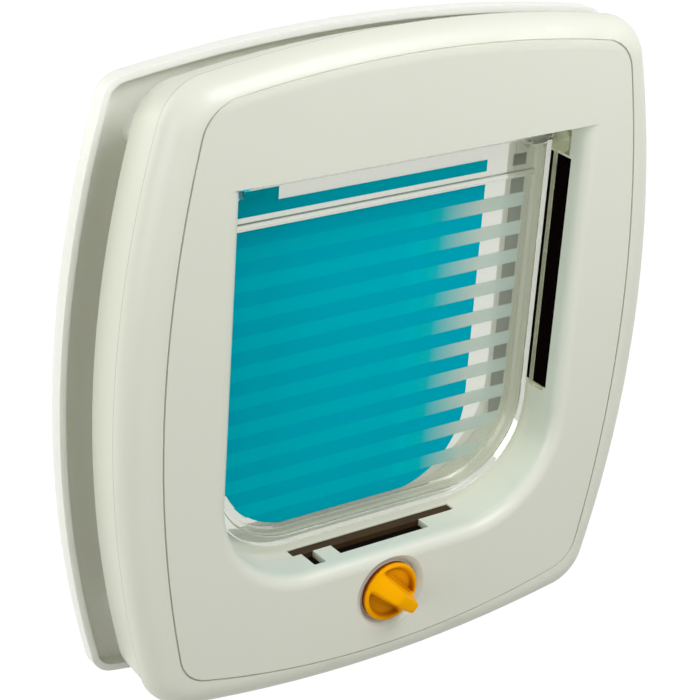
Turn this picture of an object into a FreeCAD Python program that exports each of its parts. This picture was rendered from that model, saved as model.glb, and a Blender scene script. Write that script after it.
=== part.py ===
import FreeCAD, Part
import math
import os
import Sketcher

# Cat flap for a door leaf: room-side cover and frame, outdoor frame, clear swinging flap and
# a four-way lock. X is to the right seen from the room, Y points outdoors, Z is up.
# The origin is the middle of the frame on the face that lies against the room side of the door.

document = FreeCAD.newDocument("cat_flap")
sheet = document.addObject("Spreadsheet::Sheet", "dims")

DIMENSIONS = {
    # Outline of the room-side frame: four shallow arcs joined by round corners
    "frame_half_width": 111.2,
    "frame_half_height": 121.6,
    "side_arc_radius": 388,
    "top_arc_radius": 499,
    "corner_radius": 19,
    "wall": 2.5,
    # Room-side cover
    "cover_depth": 10.5,
    "cover_edge_flat": 0.2,
    "cover_face": 3,
    "cover_rim_step": 6.5,
    "cover_rim_depth": 3,
    "groove_side_inset": 12.6,
    "groove_top_inset": 6.6,
    "groove_bottom_inset": 9.6,
    "groove_side_radius": 450,
    "groove_top_radius": 480,
    "groove_bottom_radius": 331,
    "groove_corner_radius": 14.5,
    "groove_width": 0.7,
    "groove_depth": 1,
    # Room-side frame behind the cover
    "frame_depth": 17,
    "parting_step": 1,
    "frame_draft": 1,
    "frame_draft_height": 2.6,
    "frame_drop": 1.7,
    "back_wall": 2.2,
    # Passage through the frame
    "side_rail": 39.7,
    "lower_rail": 49,
    "upper_rail": 40.1,
    "cover_lip": 3.1,
    "cover_collar": 6,
    "passage_corner": 36.9,
    "passage_flare": 5,
    "tunnel_wall": 2.5,
    "tunnel_behind": 11,
    # Outdoor frame
    "door_gap": 7,
    "outdoor_depth": 8.4,
    "outdoor_extra_width": 6.3,
    "outdoor_less_height": 3.4,
    "outdoor_drop": 1.6,
    "outdoor_top_radius": 600,
    "outdoor_corner_radius": 10,
    "outdoor_edge_round": 4,
    "sleeve_gap": 0.3,
    # Screws that draw the two frames together
    "screw_side_inset": 23.2,
    "screw_end_inset": 33.6,
    "screw_radius": 2,
    "screw_head_radius": 3.6,
    "screw_head_height": 2.5,
    "screw_clearance": 0.15,
    "boss_radius": 5,
    "boss_height": 8,
    # Flap
    "flap_side_gap": 1.8,
    "flap_floor_gap": 4.4,
    "flap_above_hinge": 4,
    "flap_top_corner": 4,
    "plate_thickness": 2,
    "plate_front": 6.3,
    "rim_width": 4.2,
    "rim_bottom_extra": 1.6,
    "rim_depth": 4.7,
    "rim_round": 0.7,
    "rim_ledge_width": 1.4,
    "rim_ledge_height": 2.2,
    "rib_below_hinge": 13.9,
    "rib_height": 1.7,
    "rib_depth": 1.8,
    # Hinge
    "hinge_y": 7.7,
    "hinge_drop": 12.5,
    "barrel_radius": 3.3,
    "barrel_length": 9,
    "pin_radius": 1.5,
    "pin_length": 12.8,
    "pin_clearance": 0.08,
    "clip_before_frame": 1.4,
    "clip_half_height": 4.8,
    "clip_thickness": 3.4,
    "clip_proud": 0.8,
    "clip_clearance": 0.1,
    "leg_behind_front": 4.6,
    "leg_width": 1.4,
    # Draught strips
    "strip_before_frame": 2.6,
    "strip_width": 11.6,
    "strip_above_floor": 45.6,
    "strip_below_hinge": 5.6,
    "strip_thickness": 3,
    "seat_wall": 1.5,
    "sill_left_inset": 37.5,
    "sill_right_inset": 33.2,
    "sill_behind_front": 4,
    "sill_width": 4.5,
    "sill_thickness": 4,
    "strip_fit": 0.1,
    # Lock
    "lock_below_floor": 16.8,
    "knob_radius": 11.6,
    "knob_foot": 2,
    "knob_reach": 8.7,
    "knob_tip_radius": 7.5,
    "knob_tip_round": 1.6,
    "knob_blade": 2.6,
    "scoop_radius": 9,
    "scoop_height": 8.5,
    "knob_turn": -50,
    "knob_neck_radius": 7,
    "neck_clearance": 0.08,
    "dish_radius": 15,
    "dish_depth": 1.8,
    "knob_seat": 0.3,
    "dish_boss_radius": 13.5,
    "dish_boss_depth": 5.7,
    "shaft_side": 6,
    "shaft_fit": 0.05,
    "journal_radius": 2.8,
    "journal_clearance": 0.08,
    "bush_radius": 5,
    "cam_above_floor": 5.6,
    "cam_hub": 7,
    "front_cam_before_frame": 1.5,
    "front_cam_thickness": 3,
    "rear_cam_front": 4,
    "rear_cam_thickness": 1.5,
    "cam_slot_gap": 0.8,
    "cam_slot_right": 22,
    "liner_margin": 1.5,
    "liner_depth": 4,
    "liner_wall": 0.6,
    "ring_radius": 9.5,
    "ring_thickness": 1,
    "tooth_slot_inset": 3.6,
    "tooth_slot_width": 5,
    "tooth_slot_depth": 8.8,
    # Print on the flap
    "film": 0.2,
    "print_pitch": 10.94,
    "stripe_height": 5.64,
    "stripe_below_rib": 1.3,
    "top_stripe_drop": 9.9,
    "top_stripe_height": 4.3,
    "print_inset": 7.1,
    "stripe_end_inset": 25.6,
    "square_inset": 7.8,
    "square_side": 5.8,
    "tab_width": 18.5,
    "tab_height": 5,
    "print_corner": 31,
    "print_margin": 0.9,
}

# Places that follow from the sizes above, as formulas of the same sheet.
PLACES = {
    "cover_edge_round": "cover_depth - cover_edge_flat",
    "clip_front": "frame_depth + clip_before_frame",
    "leg_front": "frame_depth - leg_behind_front",
    "strip_front": "frame_depth + strip_before_frame",
    "sill_front": "frame_depth - sill_behind_front",
    "front_cam_front": "frame_depth + front_cam_before_frame",
    "tooth_slot_front": "sill_front + tooth_slot_depth",
    "groove_half_width": "frame_half_width - groove_side_inset",
    "groove_half_height": "frame_half_height - (groove_top_inset + groove_bottom_inset) / 2",
    "groove_rise": "(groove_bottom_inset - groove_top_inset) / 2",
    "passage_half_width": "frame_half_width - side_rail",
    "passage_floor": "frame_half_height - lower_rail",
    "passage_ceiling": "frame_half_height - upper_rail",
    "cover_lip_height": "passage_ceiling - cover_lip",
    "screw_half_pitch_x": "frame_half_width - screw_side_inset",
    "screw_half_pitch_z": "frame_half_height - screw_end_inset",
    "hinge_height": "passage_ceiling - hinge_drop",
    "flap_top": "hinge_height + flap_above_hinge",
    "flap_half_width": "passage_half_width - flap_side_gap",
    "rib_bottom": "hinge_height - rib_below_hinge",
    "strip_bottom": "passage_floor - strip_above_floor",
    "strip_top": "hinge_height - strip_below_hinge",
    "sill_left": "passage_half_width - sill_left_inset",
    "sill_right": "passage_half_width - sill_right_inset",
    "lock_height": "passage_floor + lock_below_floor",
    "cam_radius": "lock_below_floor + cam_above_floor",
    "tooth_slot_left": "sill_left - tooth_slot_inset",
    "first_stripe_top": "rib_bottom - stripe_below_rib",
    "top_stripe_top": "flap_top - top_stripe_drop",
    "print_left": "flap_half_width - print_inset",
    "stripe_end": "flap_half_width - stripe_end_inset",
    "square_right": "flap_half_width - square_inset",
}

ROWS = dict(DIMENSIONS, **{alias: "=" + formula for alias, formula in PLACES.items()})
for row, (alias, content) in enumerate(ROWS.items(), start=1):
    sheet.set("A%d" % row, alias)
    sheet.set("B%d" % row, str(content))
    sheet.setAlias("B%d" % row, alias)
document.recompute()


class Size:
    """A length that carries its number and the sheet expression that gives it."""

    def __init__(self, number, text):
        self.number = float(number)
        self.text = text

    def __add__(self, other):
        other = size(other)
        return Size(self.number + other.number, "(%s + %s)" % (self.text, other.text))

    def __sub__(self, other):
        other = size(other)
        return Size(self.number - other.number, "(%s - %s)" % (self.text, other.text))

    def __mul__(self, factor):
        return Size(self.number * factor, "(%s * %s)" % (self.text, factor))

    def __neg__(self):
        return Size(-self.number, "(0 - %s)" % self.text)


def size(value):
    return value if isinstance(value, Size) else Size(value, str(value))


class Sheet:
    """Reads a named size from the sheet."""

    def __getattr__(self, alias):
        return Size(getattr(sheet, alias), "dims.%s" % alias)


d = Sheet()
ZERO = size(0)
cover_front = -(d.frame_depth + d.cover_depth)
cover_back = -d.frame_depth
collar_back = cover_front + d.cover_collar
flap_half_width = d.flap_half_width
flap_bottom = d.flap_floor_gap - d.passage_floor
flap_corner = d.passage_corner - d.flap_side_gap
plate_back = d.plate_thickness - d.plate_front
rim_front = -(d.plate_front + d.rim_depth)
outdoor_front = d.door_gap
outdoor_back = d.door_gap + d.outdoor_depth


def new_body(name):
    body = document.addObject("PartDesign::Body", name)
    body.Label = name
    return body


def new_sketch(body, name, role, offset):
    """A sketch on one of the body's own origin planes, moved along that plane's normal."""
    sketch = body.newObject("Sketcher::SketchObject", "%s_%s" % (body.Name, name))
    plane = [p for p in body.Origin.OriginFeatures if p.Role == role][0]
    sketch.AttachmentSupport = [(plane, "")]
    sketch.MapMode = "FlatFace"
    sketch.setExpression(".AttachmentOffset.Base.z", offset.text)
    return sketch


def dimension(sketch, kind, places, value, name):
    """Adds one driving dimension and binds it to the sheet."""
    index = sketch.addConstraint(Sketcher.Constraint(kind, *places, value.number))
    sketch.renameConstraint(index, name)
    sketch.setExpression("Constraints.%s" % name, value.text)


def place(sketch, geometry, point, x, y, name):
    """Holds a point at a distance from the sketch origin along both axes."""
    for kind, value, axis in (("DistanceX", x, -2), ("DistanceY", y, -1)):
        if value is None:
            continue
        label = "%s_%s" % (name, kind[-1].lower())
        if abs(value.number) < 1e-9:
            sketch.addConstraint(Sketcher.Constraint("PointOnObject", geometry, point, axis))
        elif value.number > 0:
            dimension(sketch, kind, (-1, 1, geometry, point), value, label)
        else:
            dimension(sketch, kind, (geometry, point, -1, 1), -value, label)


def arc(centre, radius, start, end):
    circle = Part.Circle(FreeCAD.Vector(centre[0], centre[1], 0), FreeCAD.Vector(0, 0, 1), radius)
    return Part.ArcOfCircle(circle, start, end)


def line(a, b):
    return Part.LineSegment(FreeCAD.Vector(a[0], a[1], 0), FreeCAD.Vector(b[0], b[1], 0))


def join_tangent(sketch, pairs):
    for first, first_end, second, second_end in pairs:
        sketch.addConstraint(
            Sketcher.Constraint("Tangent", first, first_end, second, second_end))


def pillow_corner(reach, half_height, side, top, corner):
    """Centre and end angles of the arc that rounds the meeting of a side and a top arc."""
    drop = top - half_height
    to_side, to_top = side - corner, top - corner
    across = math.hypot(reach, drop)
    along = (to_side ** 2 - to_top ** 2 + across ** 2) / (2 * across)
    aside = math.sqrt(to_side ** 2 - along ** 2)
    ux, uz = reach / across, -drop / across
    x = -reach + ux * along - uz * aside
    z = uz * along + ux * aside
    return x, z, math.atan2(z, x + reach), math.atan2(z + drop, x)


def draw_pillow(sketch, half_width, half_height, radii, corner, middle, name):
    """Closed outline of four shallow arcs, of side, top and bottom radius, and round corners."""
    side_radius, top_radius, bottom_radius = radii
    b, side, small = half_height.number, side_radius.number, corner.number
    top, low, z = top_radius.number, bottom_radius.number, middle.number
    reach = side - half_width.number
    hx, hz, high_side, high_top = pillow_corner(reach, b, side, top, small)
    lx, lz, low_side, low_top = pillow_corner(reach, b, side, low, small)
    first = sketch.GeometryCount
    half, turn = math.pi, 2 * math.pi
    sketch.addGeometry([
        arc((-reach, z), side, -low_side, high_side),
        arc((hx, z + hz), small, high_side, high_top),
        arc((0, z - top + b), top, high_top, half - high_top),
        arc((-hx, z + hz), small, half - high_top, half - high_side),
        arc((reach, z), side, half - high_side, half + low_side),
        arc((-lx, z - lz), small, half + low_side, half + low_top),
        arc((0, z + low - b), low, half + low_top, turn - low_top),
        arc((lx, z - lz), small, turn - low_top, turn - low_side),
    ], False)
    join_tangent(sketch, [(first + n, 2, first + (n + 1) % 8, 1) for n in range(8)])
    for n in range(8):
        radius = (side_radius, corner, (top_radius, bottom_radius)[n // 4], corner)[n % 4]
        dimension(sketch, "Radius", (first + n,), radius, "%s_r%d" % (name, n))
    place(sketch, first, 3, -(side_radius - half_width), middle, name + "_right")
    place(sketch, first + 4, 3, side_radius - half_width, middle, name + "_left")
    place(sketch, first + 2, 3, ZERO, middle - (top_radius - half_height), name + "_top")
    place(sketch, first + 6, 3, ZERO, middle + (bottom_radius - half_height), name + "_bottom")


def draw_window(sketch, half_width, top, bottom, corner, name, top_corner=None):
    """Opening with large round bottom corners and square or small round top corners."""
    w, t, b, r = half_width.number, top.number, bottom.number, corner.number
    k = top_corner.number if top_corner else 0
    right, half = math.pi / 2, math.pi
    first = sketch.GeometryCount
    sketch.addGeometry([
        line((-w, t - k), (-w, b + r)),
        arc((-w + r, b + r), r, half, 3 * right),
        line((-w + r, b), (w - r, b)),
        arc((w - r, b + r), r, 3 * right, 4 * right),
        line((w, b + r), (w, t - k)),
        line((w - k, t), (-w + k, t)),
    ], False)
    left, low_left, low, low_right, side, high = range(first, first + 6)
    join_tangent(sketch, [(left, 2, low_left, 1), (low_left, 2, low, 1),
                          (low, 2, low_right, 1), (low_right, 2, side, 1)])
    if top_corner:
        sketch.addGeometry([arc((w - k, t - k), k, 0, right),
                            arc((-w + k, t - k), k, right, half)], False)
        join_tangent(sketch, [(side, 2, first + 6, 1), (first + 6, 2, high, 1),
                              (high, 2, first + 7, 1), (first + 7, 2, left, 1)])
        dimension(sketch, "Radius", (first + 6,), top_corner, name + "_top_right")
        dimension(sketch, "Radius", (first + 7,), top_corner, name + "_top_left")
    else:
        sketch.addConstraint(Sketcher.Constraint("Coincident", side, 2, high, 1))
        sketch.addConstraint(Sketcher.Constraint("Coincident", high, 2, left, 1))
    for geometry, kind in ((left, "Vertical"), (side, "Vertical"), (low, "Horizontal"),
                           (high, "Horizontal")):
        sketch.addConstraint(Sketcher.Constraint(kind, geometry))
    dimension(sketch, "Radius", (low_left,), corner, name + "_low_left")
    dimension(sketch, "Radius", (low_right,), corner, name + "_low_right")
    place(sketch, left, 1, -half_width, None, name + "_left")
    place(sketch, side, 1, half_width, None, name + "_side")
    place(sketch, low, 1, None, bottom, name + "_low")
    place(sketch, high, 1, None, top, name + "_high")


def draw_box(sketch, left, right, bottom, top, name):
    """Rectangle between four distances from the sketch origin."""
    x0, x1, z0, z1 = left.number, right.number, bottom.number, top.number
    first = sketch.GeometryCount
    corners = [(x0, z0), (x1, z0), (x1, z1), (x0, z1)]
    sketch.addGeometry([line(corners[n], corners[(n + 1) % 4]) for n in range(4)], False)
    for n in range(4):
        sketch.addConstraint(
            Sketcher.Constraint("Coincident", first + n, 2, first + (n + 1) % 4, 1))
        kind = "Vertical" if n % 2 else "Horizontal"
        sketch.addConstraint(Sketcher.Constraint(kind, first + n))
    place(sketch, first, 1, left, bottom, name + "_low")
    place(sketch, first + 2, 1, right, top, name + "_high")


def draw_circle(sketch, x, y, radius, name):
    first = sketch.GeometryCount
    centre = FreeCAD.Vector(x.number, y.number, 0)
    sketch.addGeometry(Part.Circle(centre, FreeCAD.Vector(0, 0, 1), radius.number), False)
    dimension(sketch, "Radius", (first,), radius, name + "_radius")
    place(sketch, first, 3, x, y, name)


def add(body, name, role, offset, length, draw, backwards=False):
    """Pads what draw puts in the sketch, along the plane's normal or against it."""
    sketch = new_sketch(body, name + "_profile", role, offset)
    draw(sketch)
    pad = body.newObject("PartDesign::Pad", "%s_%s" % (body.Name, name))
    pad.Profile = sketch
    pad.setExpression("Length", length.text)
    pad.Reversed = backwards
    document.recompute()
    return pad


def cut(body, name, role, offset, length, draw, forwards=False):
    """Pockets what draw puts in the sketch, against the plane's normal or along it."""
    before = body.Shape.Volume
    sketch = new_sketch(body, name + "_profile", role, offset)
    draw(sketch)
    pocket = body.newObject("PartDesign::Pocket", "%s_%s" % (body.Name, name))
    pocket.Profile = sketch
    pocket.setExpression("Length", length.text)
    pocket.Reversed = forwards
    document.recompute()
    if body.Shape.Volume > before - 1e-6:
        raise RuntimeError("%s cuts nothing" % pocket.Name)
    return pocket


def slab(body, name, back, depth, draw):
    """A pad that ends at the given Y and reaches the given depth towards the room."""
    return add(body, name, "XZ_Plane", -back, depth, draw)


def hollow(body, name, front, depth, draw):
    """A pocket that starts at the given Y and goes outdoors by the given depth."""
    return cut(body, name, "XZ_Plane", -front, depth, draw)


def round_edges(body, name, radius, chosen):
    """Fillets the edges of the body's last feature that the test picks."""
    base = body.Tip
    names = ["Edge%d" % (n + 1) for n, edge in enumerate(base.Shape.Edges) if chosen(edge)]
    if not names:
        raise RuntimeError("%s rounds no edge" % name)
    fillet = body.newObject("PartDesign::Fillet", "%s_%s" % (body.Name, name))
    fillet.Base = (base, names)
    fillet.setExpression("Radius", radius.text)
    document.recompute()
    return fillet


def edge_at_y(y, reach=None, inside=None):
    """A test for edges that lie in the plane at Y, outside or inside a distance from the axis."""
    def chosen(edge):
        if any(abs(v.Point.y - y) > 1e-4 for v in edge.Vertexes):
            return False
        mid = edge.valueAt((edge.FirstParameter + edge.LastParameter) / 2)
        if abs(mid.y - y) > 1e-4:
            return False
        far = max(abs(mid.x), abs(mid.z))
        return (reach is None or far > reach) and (inside is None or far < inside)
    return chosen


def screw_places():
    for x in (-1, 1):
        for z in (-1, 1):
            yield d.screw_half_pitch_x * x, d.screw_half_pitch_z * z


def frame_outline(inset, lower=ZERO, middle=ZERO):
    """Draws the room-side outline, inset by a wall and lower by the given amount."""
    def draw(sketch):
        top = d.top_arc_radius - inset
        draw_pillow(sketch, d.frame_half_width - inset, d.frame_half_height - inset - lower,
                    (d.side_arc_radius - inset, top, top), d.corner_radius - inset, middle,
                    "outline")
    return draw


def drafted(body, name, kind, front, back, inset):
    """A loft from the front outline to the smaller and lower back outline."""
    near = new_sketch(body, name + "_front", "XZ_Plane", -front)
    frame_outline(d.parting_step + inset)(near)
    far = new_sketch(body, name + "_back", "XZ_Plane", -back)
    frame_outline(d.parting_step + d.frame_draft + inset, d.frame_draft_height,
                  -d.frame_drop)(far)
    loft = body.newObject("PartDesign::%sLoft" % kind, "%s_%s" % (body.Name, name))
    loft.Profile = near
    loft.Sections = [far]
    document.recompute()
    return loft


def passage(extra, top):
    """Draws the passage, larger by the given amount on every side."""
    def draw(sketch):
        draw_window(sketch, d.passage_half_width + extra, top, -(d.passage_floor + extra),
                    d.passage_corner + extra, "passage")
    return draw


# Room-side cover: a shallow moulded tray with a rounded outer edge, a fine groove round its
# face, a flared opening and a dished seat for the lock knob.
def build_front_cover():
    body = new_body("front_cover")
    slab(body, "block", cover_back, d.cover_depth, frame_outline(ZERO))
    front = cover_front.number
    round_edges(body, "outer_round", d.cover_edge_round, edge_at_y(front))
    deep = d.cover_depth - d.cover_face
    cut(body, "hollow", "XZ_Plane", -cover_back, deep, frame_outline(d.cover_rim_step + d.wall),
        forwards=True)
    cut(body, "rim_step", "XZ_Plane", -cover_back, d.cover_rim_depth, frame_outline(d.wall),
        forwards=True)
    slab(body, "knob_boss", cover_front + d.dish_depth + d.dish_boss_depth,
         d.dish_depth + d.dish_boss_depth - d.cover_face * 0.5,
         lambda s: draw_circle(s, ZERO, -d.lock_height, d.dish_boss_radius, "boss"))
    slab(body, "collar", collar_back, d.cover_collar - d.cover_face * 0.5,
         passage(d.tunnel_wall, d.passage_ceiling + d.tunnel_wall))
    hollow(body, "opening", cover_front, d.cover_depth, passage(ZERO, d.cover_lip_height))
    lip = d.cover_lip_height.number
    wide = d.passage_half_width.number

    def flare_edge(edge):
        if not edge_at_y(front, inside=d.passage_floor.number + 8)(edge):
            return False
        mid = edge.valueAt((edge.FirstParameter + edge.LastParameter) / 2)
        return mid.z < lip - 1 and abs(mid.x) < wide + 1
    round_edges(body, "flare", d.passage_flare, flare_edge)

    def groove(sketch):
        for inset, name in ((ZERO, "outer"), (d.groove_width, "inner")):
            draw_pillow(sketch, d.groove_half_width - inset, d.groove_half_height - inset,
                        (d.groove_side_radius - inset, d.groove_top_radius - inset,
                         d.groove_bottom_radius - inset),
                        d.groove_corner_radius - inset, d.groove_rise, name)
    hollow(body, "groove", cover_front, d.groove_depth, groove)

    dish = body.newObject("PartDesign::SubtractiveCone", "front_cover_dish")
    dish.setExpression("Radius1", d.dish_radius.text)
    dish.setExpression("Radius2", (d.knob_radius + d.knob_seat).text)
    dish.setExpression("Height", d.dish_depth.text)
    plane = [p for p in body.Origin.OriginFeatures if p.Role == "XZ_Plane"][0]
    dish.AttachmentSupport = [(plane, "")]
    dish.MapMode = "FlatFace"
    turn = FreeCAD.Rotation(FreeCAD.Vector(1, 0, 0), 180)
    dish.AttachmentOffset = FreeCAD.Placement(FreeCAD.Vector(0, 0, 0), turn)
    dish.setExpression(".AttachmentOffset.Base.y", (-d.lock_height).text)
    dish.setExpression(".AttachmentOffset.Base.z", (-cover_front).text)
    document.recompute()
    hollow(body, "neck_hole", cover_front + d.dish_depth - 0.5, d.dish_boss_depth + 2,
           lambda s: draw_circle(s, ZERO, -d.lock_height,
                                 d.knob_neck_radius + d.neck_clearance, "neck"))
    return body


# Room-side frame: the tray that clamps the door, with the passage tunnel, the screw bosses,
# the seats of the draught strips, the floor slots of the lock and the hinge pockets.
def build_inner_frame():
    body = new_body("inner_frame")
    drafted(body, "block", "Additive", cover_back, ZERO, ZERO)
    drafted(body, "tray", "Subtractive", cover_back, -d.back_wall, d.wall)
    front = collar_back
    slab(body, "tunnel", d.tunnel_behind, d.tunnel_behind - front,
         passage(d.tunnel_wall, d.passage_ceiling + d.tunnel_wall))
    for n, (x, z) in enumerate(screw_places()):
        slab(body, "boss_%d" % n, ZERO, d.boss_height,
             lambda s, x=x, z=z: draw_circle(s, x, z, d.boss_radius, "boss"))
    outside = d.passage_half_width + d.clip_thickness + d.seat_wall
    for side in (-1, 1):
        near = d.passage_half_width * side
        far = outside * side
        left, right = (far, near) if side < 0 else (near, far)
        name = "left" if side < 0 else "right"
        slab(body, "seat_" + name, d.seat_wall + d.strip_width - d.strip_front,
             d.strip_width + d.seat_wall * 2,
             lambda s, a=left, b=right: draw_box(s, a, b, -(d.strip_bottom + d.seat_wall),
                                                 d.strip_top + d.seat_wall, "seat"))
        slab(body, "hinge_block_" + name, ZERO, d.clip_front + d.seat_wall,
             lambda s, a=left, b=right: draw_box(
                 s, a, b, d.hinge_height - d.clip_half_height - d.seat_wall,
                 d.hinge_height + d.clip_half_height + d.seat_wall, "block"))
    slab(body, "sill_seat", d.sill_width + d.seat_wall - d.sill_front,
         d.sill_width + d.seat_wall,
         lambda s: draw_box(s, -(d.sill_left + d.seat_wall), d.sill_right + d.seat_wall,
                            -(d.passage_floor + d.sill_thickness + d.seat_wall),
                            -d.passage_floor, "seat"))
    hollow(body, "passage", front - 1, d.tunnel_behind - front + 2,
           passage(ZERO, d.passage_ceiling))
    for side, role_name in ((-1, "left"), (1, "right")):
        start = d.passage_half_width * side
        cut(body, "strip_recess_" + role_name, "YZ_Plane", start, d.strip_thickness,
            lambda s: draw_box(s, -d.strip_front, d.strip_width - d.strip_front,
                               -d.strip_bottom, d.strip_top, "recess"), forwards=side > 0)
        cut(body, "clip_recess_" + role_name, "YZ_Plane", start,
            d.clip_thickness - d.clip_proud,
            lambda s: draw_box(s, -d.clip_front, -(d.hinge_y - d.clip_half_height),
                               d.hinge_height - d.clip_half_height,
                               d.hinge_height + d.clip_half_height, "recess"),
            forwards=side > 0)
        cut(body, "pin_clearance_" + role_name, "YZ_Plane", start,
            d.clip_thickness,
            lambda s: draw_circle(s, -d.hinge_y, d.hinge_height, d.pin_radius * 1.6, "pin"),
            forwards=side > 0)
    under_floor = d.passage_floor.number + d.tunnel_wall.number
    chord = math.sqrt(d.cam_radius.number ** 2 - (d.lock_height.number - under_floor) ** 2)
    slot_half = size(chord) + d.cam_slot_gap * 0.5
    floor = -d.passage_floor
    cut(body, "sill_slot", "XY_Plane", floor + 1, d.sill_thickness + 1,
        lambda s: draw_box(s, -d.sill_left, d.sill_right,
                           -d.sill_front, d.sill_width - d.sill_front, "slot"))
    for name, start, thick in (("front", d.front_cam_front, d.front_cam_thickness),
                               ("rear", d.rear_cam_front, d.rear_cam_thickness)):
        gap, right, back = d.cam_slot_gap, d.cam_slot_right, -d.sill_front
        if name == "rear":
            gap, right = d.cam_slot_gap * 0.375, slot_half
            back = thick + gap - start
        cut(body, name + "_cam_slot", "XY_Plane", floor + 1, d.tunnel_wall + 2,
            lambda s, start=start, gap=gap, right=right, back=back: draw_box(
                s, -slot_half, right, -(start + gap), back, "slot"))
    cut(body, "tooth_slot", "XY_Plane", floor + 1, d.tunnel_wall + 2,
        lambda s: draw_box(s, -d.tooth_slot_left, d.tooth_slot_width - d.tooth_slot_left,
                           -d.tooth_slot_front, -d.sill_front, "slot"))
    hollow(body, "bush_hole", -(d.back_wall + 1), d.back_wall + 2,
           lambda s: draw_circle(s, ZERO, -d.lock_height, d.bush_radius, "bush"))
    for n, (x, z) in enumerate(screw_places()):
        hollow(body, "screw_hole_%d" % n, -(d.boss_height + 1), d.boss_height + 2,
               lambda s, x=x, z=z: draw_circle(
                   s, x, z, d.screw_radius + d.screw_clearance, "hole"))
    return body


# Outdoor frame: the same kind of tray, open towards the door, with a sleeve round the tunnel
# and blind bosses for the screws.
def build_rear_frame():
    body = new_body("rear_frame")
    middle = -d.outdoor_drop

    def outline(inset):
        def draw(sketch):
            top = d.outdoor_top_radius - inset
            draw_pillow(sketch, d.frame_half_width + d.outdoor_extra_width - inset,
                        d.frame_half_height - d.outdoor_less_height - inset,
                        (d.side_arc_radius - inset, top, top),
                        d.outdoor_corner_radius - inset, middle, "outline")
        return draw
    slab(body, "block", outdoor_back, d.outdoor_depth, outline(ZERO))
    round_edges(body, "outer_round", d.outdoor_edge_round, edge_at_y(outdoor_back.number))
    hollow(body, "tray", outdoor_front, d.outdoor_depth - d.wall, outline(d.wall))
    sleeve = d.tunnel_wall + d.sleeve_gap
    slab(body, "sleeve", outdoor_back, d.outdoor_depth,
         passage(sleeve + d.wall, d.passage_ceiling + sleeve + d.wall))
    for n, (x, z) in enumerate(screw_places()):
        slab(body, "boss_%d" % n, outdoor_back, d.outdoor_depth,
             lambda s, x=x, z=z: draw_circle(s, x, z, d.boss_radius, "boss"))
    hollow(body, "socket", outdoor_front - 1,
           d.tunnel_behind - d.door_gap + 1 + d.sleeve_gap,
           passage(sleeve, d.passage_ceiling + sleeve))
    hollow(body, "opening", outdoor_front - 1, d.outdoor_depth + 2,
           passage(ZERO, d.passage_ceiling))
    for n, (x, z) in enumerate(screw_places()):
        hollow(body, "screw_hole_%d" % n, outdoor_front - 1, d.outdoor_depth,
               lambda s, x=x, z=z: draw_circle(
                   s, x, z, d.screw_radius + d.screw_clearance * 0.5, "hole"))
    return body


# Clear flap: a thin plate with a raised rim, a cross rib and two hinge barrels.
def build_flap_panel():
    body = new_body("flap_panel")

    def outline(sketch):
        draw_window(sketch, flap_half_width, d.flap_top, flap_bottom, flap_corner, "edge",
                    top_corner=d.flap_top_corner)
    slab(body, "block", plate_back, d.plate_thickness + d.rim_depth, outline)

    def tray(width):
        def draw(sketch):
            draw_window(sketch, flap_half_width - width, d.flap_top - width,
                        flap_bottom + width + d.rim_bottom_extra, flap_corner - width, "tray",
                        top_corner=d.flap_top_corner * 0.5)
        return draw
    outer_width = d.rim_width - d.rim_ledge_width
    hollow(body, "tray", rim_front, d.rim_depth - d.rim_ledge_height, tray(outer_width))
    ledge = rim_front + d.rim_depth - d.rim_ledge_height
    hollow(body, "plate_front", ledge, d.rim_ledge_height, tray(d.rim_width))
    round_edges(body, "rim_edges", d.rim_round, edge_at_y(rim_front.number))
    slab(body, "rib", -d.plate_front, d.rib_depth,
         lambda s: draw_box(s, -(flap_half_width - d.rim_width * 0.5),
                            flap_half_width - d.rim_width * 0.5,
                            d.rib_bottom, d.rib_bottom + d.rib_height, "rib"))
    for side, name in ((-1, "left"), (1, "right")):
        start = flap_half_width * side
        add(body, "barrel_" + name, "YZ_Plane", start, d.barrel_length,
            lambda s: draw_circle(s, -d.hinge_y, d.hinge_height, d.barrel_radius, "barrel"),
            backwards=side > 0)
        cut(body, "pin_hole_" + name, "YZ_Plane", start, d.barrel_length - 1,
            lambda s: draw_circle(s, -d.hinge_y, d.hinge_height, d.pin_radius, "pin"),
            forwards=side < 0)
    return body


def cylinder(name, radius, height, x, y, z, axis):
    """A Part cylinder whose sizes and place are bound to the sheet."""
    made = document.addObject("Part::Cylinder", name)
    made.Label = name
    made.setExpression("Radius", radius.text)
    made.setExpression("Height", height.text)
    made.Placement.Rotation = FreeCAD.Rotation(FreeCAD.Vector(0, 0, 1), FreeCAD.Vector(*axis))
    for letter, value in (("x", x), ("y", y), ("z", z)):
        made.setExpression(".Placement.Base.%s" % letter, value.text)
    return made


def block(name, x, y, z):
    """A Part box between pairs of sizes."""
    made = document.addObject("Part::Box", name)
    made.Label = name
    for prop, letter, pair in (("Length", "x", x), ("Width", "y", y), ("Height", "z", z)):
        made.setExpression(prop, (pair[1] - pair[0]).text)
        made.setExpression(".Placement.Base.%s" % letter, pair[0].text)
    return made


def build_hinge_pins():
    made = []
    for side, name in ((-1, "hinge_pin_left"), (1, "hinge_pin_right")):
        start = (flap_half_width - d.barrel_length + 1) * side
        made.append(cylinder(name, d.pin_radius, d.pin_length, start, -d.hinge_y,
                             d.hinge_height, (side, 0, 0)))
    return made


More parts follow.
